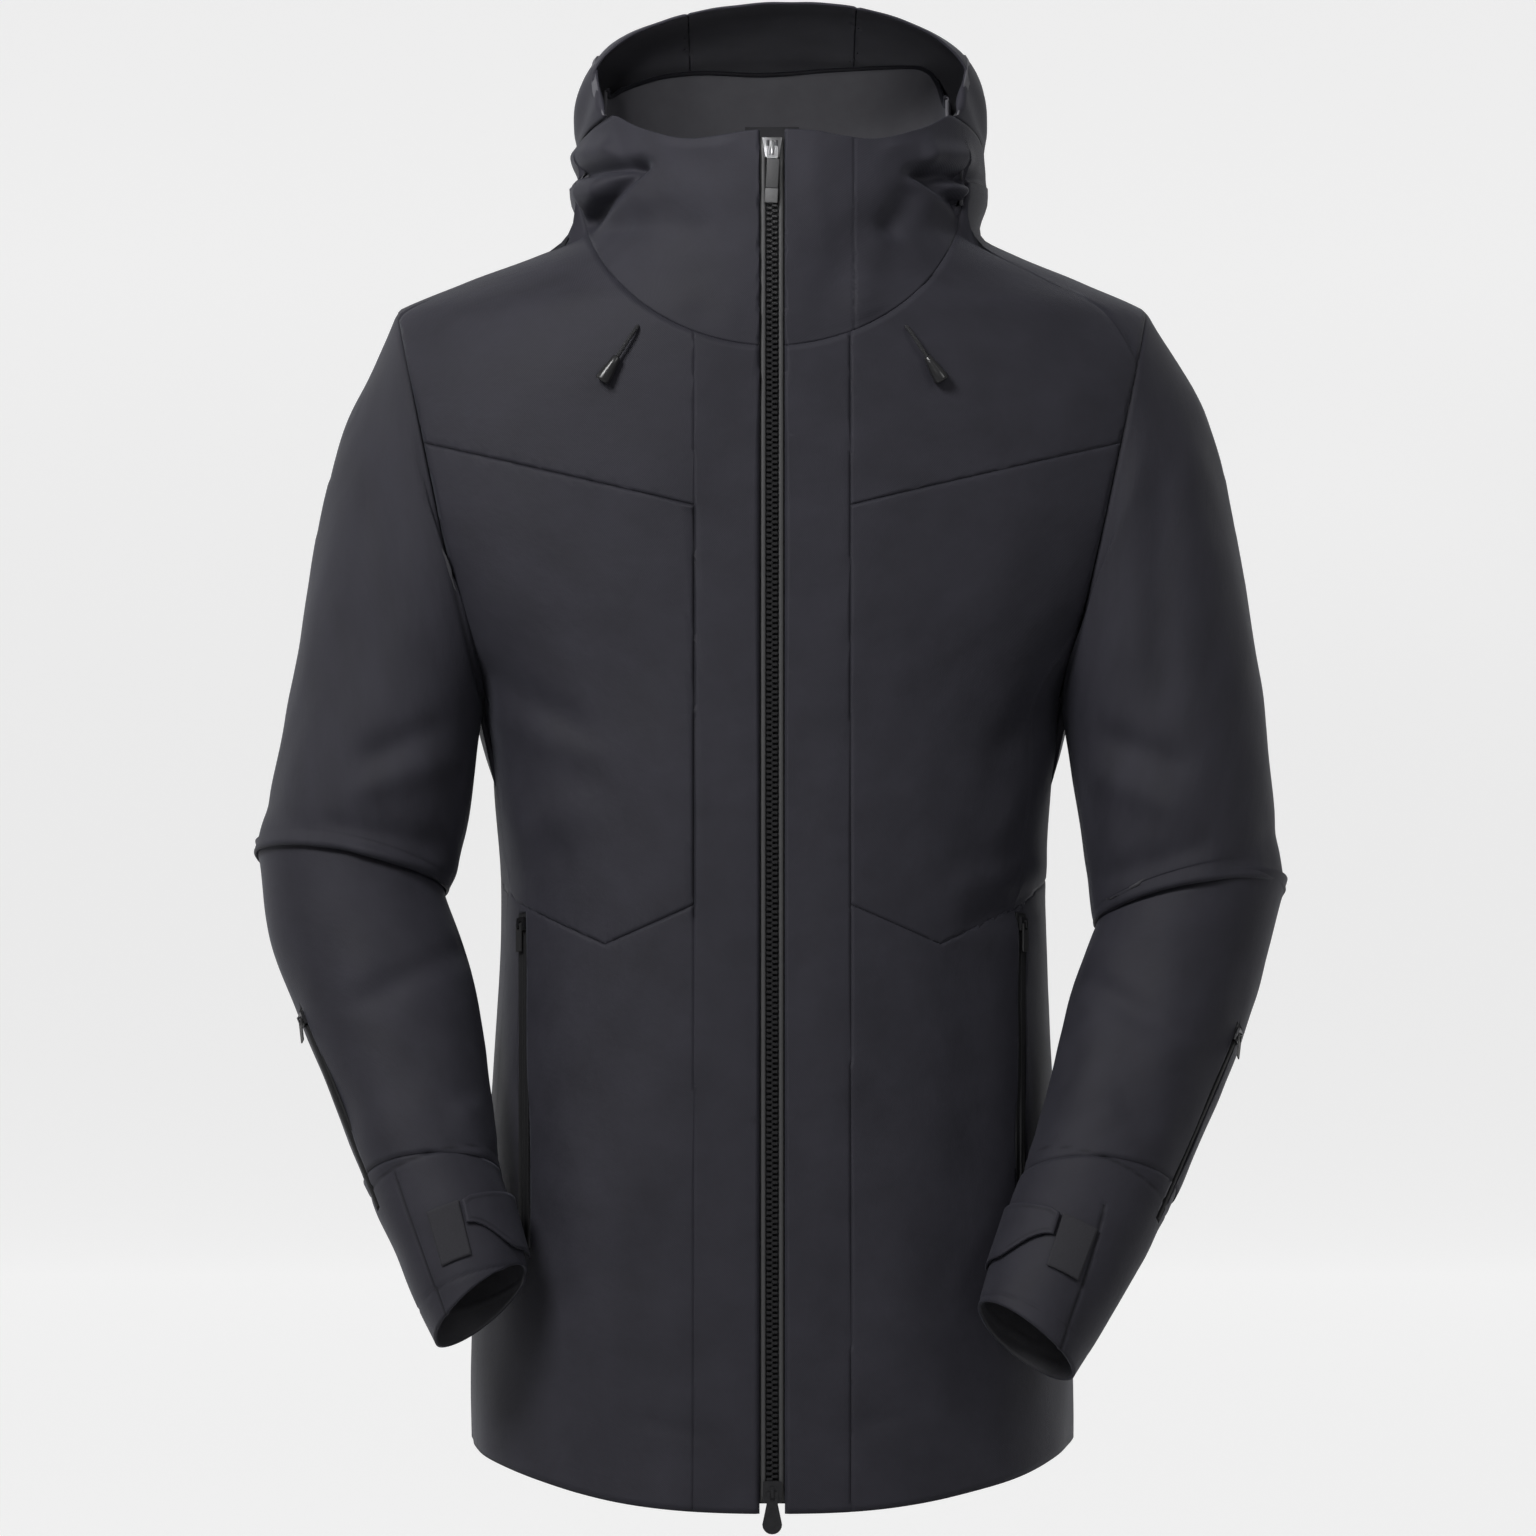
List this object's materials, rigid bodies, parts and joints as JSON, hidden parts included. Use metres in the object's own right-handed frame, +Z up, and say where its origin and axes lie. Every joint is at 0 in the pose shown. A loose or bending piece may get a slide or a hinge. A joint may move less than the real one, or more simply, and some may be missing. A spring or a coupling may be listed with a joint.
{
  "type": "ski jacket",
  "caption": "Hooded ski shell jacket with cut panels, two-way front zip, zipped pockets, jointed sleeves, strapped cuffs and hood cords.",
  "frame": {"origin": "middle of the underside of the hang loop's top bar, where a hook bears", "axes": "+X towards the wearer's left, +Y towards the wearer's back, +Z up"},
  "size_m": [0.6346, 0.3412, 0.9239],
  "materials": {
    "shell_fabric": "matt woven shell, charcoal",
    "lining_fabric": "matt brushed lining",
    "tape_fabric": "matt woven tape",
    "tooth_plastic": "satin moulded teeth",
    "pull_rubber": "satin moulded rubber",
    "silver_metal": "polished nickel",
    "dark_metal": "satin black nickel",
    "hook_pile": "matt hook tape",
    "cord_elastic": "braided elastic cord",
    "end_plastic": "soft-touch plastic"
  },
  "bodies": {
    "jacket_body": {"placket_right": "shell_fabric", "yoke_right": "shell_fabric", "chest_panel_right": "shell_fabric", "front_lower_right": "shell_fabric", "placket_left": "shell_fabric", "yoke_left": "shell_fabric", "chest_panel_left": "shell_fabric", "front_lower_left": "shell_fabric", "back_yoke": "shell_fabric", "back_panel": "shell_fabric", "collar_right": "shell_fabric", "collar_left": "shell_fabric", "inner_collar": "lining_fabric", "hang_loop": "tape_fabric", "neck_label": "lining_fabric", "zip_tape_right": "tape_fabric", "zip_teeth_right": "tooth_plastic", "zip_tape_left": "tape_fabric", "zip_teeth_left": "tooth_plastic", "zip_retainer_box": "tooth_plastic", "zip_insertion_pin": "tooth_plastic", "storm_flap": "lining_fabric", "hand_pocket_right_zip": "tape_fabric", "hand_pocket_left_zip": "tape_fabric", "hand_pocket_bag_right": "lining_fabric", "chest_pocket_bag_right": "lining_fabric", "hand_pocket_bag_left": "lining_fabric", "chest_pocket_bag_left": "lining_fabric"},
    "hood": {"hood_centre": "shell_fabric", "hood_side_right": "shell_fabric", "hood_side_left": "shell_fabric"},
    "top_slider_body": {"top_slider": "silver_metal"},
    "top_puller": {"top_puller_link": "silver_metal", "top_puller_tab": "pull_rubber"},
    "bottom_slider_body": {"bottom_slider": "dark_metal"},
    "bottom_puller_body": {"bottom_puller": "dark_metal"},
    "hand_slider_right": {"hand_pocket_right_slider": "dark_metal"},
    "hand_puller_right": {"hand_pocket_right_puller": "pull_rubber"},
    "sleeve_right": {"upper_sleeve_right": "shell_fabric"},
    "lower_arm_right": {"forearm_right": "shell_fabric", "cuff_right": "shell_fabric", "cuff_patch_right": "hook_pile", "forearm_right_zip": "tape_fabric"},
    "arm_slider_right": {"forearm_right_slider": "dark_metal"},
    "arm_puller_right": {"forearm_right_puller": "pull_rubber"},
    "strap_right": {"cuff_tab_right": "shell_fabric"},
    "draw_cord_right": {"hood_cord_right": "cord_elastic", "hood_cord_end_right": "end_plastic"},
    "hand_slider_left": {"hand_pocket_left_slider": "dark_metal"},
    "hand_puller_left": {"hand_pocket_left_puller": "pull_rubber"},
    "sleeve_left": {"upper_sleeve_left": "shell_fabric"},
    "lower_arm_left": {"forearm_left": "shell_fabric", "cuff_left": "shell_fabric", "cuff_patch_left": "hook_pile", "forearm_left_zip": "tape_fabric"},
    "arm_slider_left": {"forearm_left_slider": "dark_metal"},
    "arm_puller_left": {"forearm_left_puller": "pull_rubber"},
    "strap_left": {"cuff_tab_left": "shell_fabric"},
    "draw_cord_left": {"hood_cord_left": "cord_elastic", "hood_cord_end_left": "end_plastic"}
  },
  "joints": [
    {"name": "hood_tilt", "type": "hinge", "parent": "jacket_body", "child": "hood", "pos_m": [0, 0.044, -0.0076], "axis": [-1, 0, 0], "range_deg": [0, 30]},
    {"name": "top_slider_travel", "type": "slide", "parent": "jacket_body", "child": "top_slider_body", "axis": [0, -0.0558, -0.9984], "range_m": [0, 0.5]},
    {"name": "top_puller_swing", "type": "hinge", "parent": "top_slider_body", "child": "top_puller", "pos_m": [0, -0.17971, 0.01608], "axis": [-1, 0, 0], "range_deg": [0, 150]},
    {"name": "bottom_slider_travel", "type": "slide", "parent": "jacket_body", "child": "bottom_slider_body", "axis": [0, 0.0558, 0.9984], "range_m": [0, 0.22]},
    {"name": "bottom_puller_swing", "type": "hinge", "parent": "bottom_slider_body", "child": "bottom_puller_body", "pos_m": [0, -0.2247, -0.78895], "axis": [-1, 0, 0], "range_deg": [0, 150]},
    {"name": "hand_slider_travel_right", "type": "slide", "parent": "jacket_body", "child": "hand_slider_right", "axis": [0.0049, -0.1292, -0.9916], "range_m": [0, 0.145]},
    {"name": "hand_puller_swing_right", "type": "hinge", "parent": "hand_slider_right", "child": "hand_puller_right", "pos_m": [-0.15404, -0.14128, -0.45277], "axis": [-0.5557, 0.8241, -0.1101], "range_deg": [0, 150]},
    {"name": "shoulder_right", "type": "hinge", "parent": "jacket_body", "child": "sleeve_right", "pos_m": [-0.236, -0.066, -0.074], "axis": [0, 1, 0], "range_deg": [0, 35]},
    {"name": "elbow_right", "type": "hinge", "parent": "sleeve_right", "child": "lower_arm_right", "pos_m": [-0.25431, -0.16923, -0.4129], "axis": [-0.9835, 0, 0.1812], "range_deg": [0, 60]},
    {"name": "arm_slider_travel_right", "type": "slide", "parent": "lower_arm_right", "child": "arm_slider_right", "axis": [0.3718, -0.3337, -0.8663], "range_m": [0, 0.12]},
    {"name": "arm_puller_swing_right", "type": "hinge", "parent": "arm_slider_right", "child": "arm_puller_right", "pos_m": [-0.2863, -0.14926, -0.51115], "axis": [-0.2663, 0.8556, -0.4439], "range_deg": [-14, 130]},
    {"name": "strap_peel_right", "type": "hinge", "parent": "lower_arm_right", "child": "strap_right", "pos_m": [-0.15196, -0.17906, -0.63665], "axis": [-0.2601, 0.3574, 0.897], "range_deg": [0, 60]},
    {"name": "draw_cord_swing_right", "type": "hinge", "parent": "jacket_body", "child": "draw_cord_right", "pos_m": [-0.081, -0.1755, -0.092], "axis": [0.2041, 0.965, -0.1646], "range_deg": [-25, 25]},
    {"name": "hand_slider_travel_left", "type": "slide", "parent": "jacket_body", "child": "hand_slider_left", "axis": [-0.0049, -0.1292, -0.9916], "range_m": [0, 0.145]},
    {"name": "hand_puller_swing_left", "type": "hinge", "parent": "hand_slider_left", "child": "hand_puller_left", "pos_m": [0.15404, -0.14128, -0.45277], "axis": [-0.5557, -0.8241, 0.1101], "range_deg": [0, 150]},
    {"name": "shoulder_left", "type": "hinge", "parent": "jacket_body", "child": "sleeve_left", "pos_m": [0.236, -0.066, -0.074], "axis": [0, -1, 0], "range_deg": [0, 35]},
    {"name": "elbow_left", "type": "hinge", "parent": "sleeve_left", "child": "lower_arm_left", "pos_m": [0.252, -0.1703, -0.4305], "axis": [-0.9864, 0, -0.1644], "range_deg": [0, 60]},
    {"name": "arm_slider_travel_left", "type": "slide", "parent": "lower_arm_left", "child": "arm_slider_left", "axis": [-0.3921, -0.4002, -0.8283], "range_m": [0, 0.12]},
    {"name": "arm_puller_swing_left", "type": "hinge", "parent": "arm_slider_left", "child": "arm_puller_left", "pos_m": [0.28391, -0.15128, -0.521], "axis": [-0.2411, -0.8242, 0.5123], "range_deg": [-14, 130]},
    {"name": "strap_peel_left", "type": "hinge", "parent": "lower_arm_left", "child": "strap_left", "pos_m": [0.13301, -0.196, -0.64884], "axis": [-0.3088, -0.3963, -0.8646], "range_deg": [0, 60]},
    {"name": "draw_cord_swing_left", "type": "hinge", "parent": "jacket_body", "child": "draw_cord_left", "pos_m": [0.081, -0.1755, -0.092], "axis": [0.2041, -0.965, 0.1646], "range_deg": [-25, 25]}
  ]
}
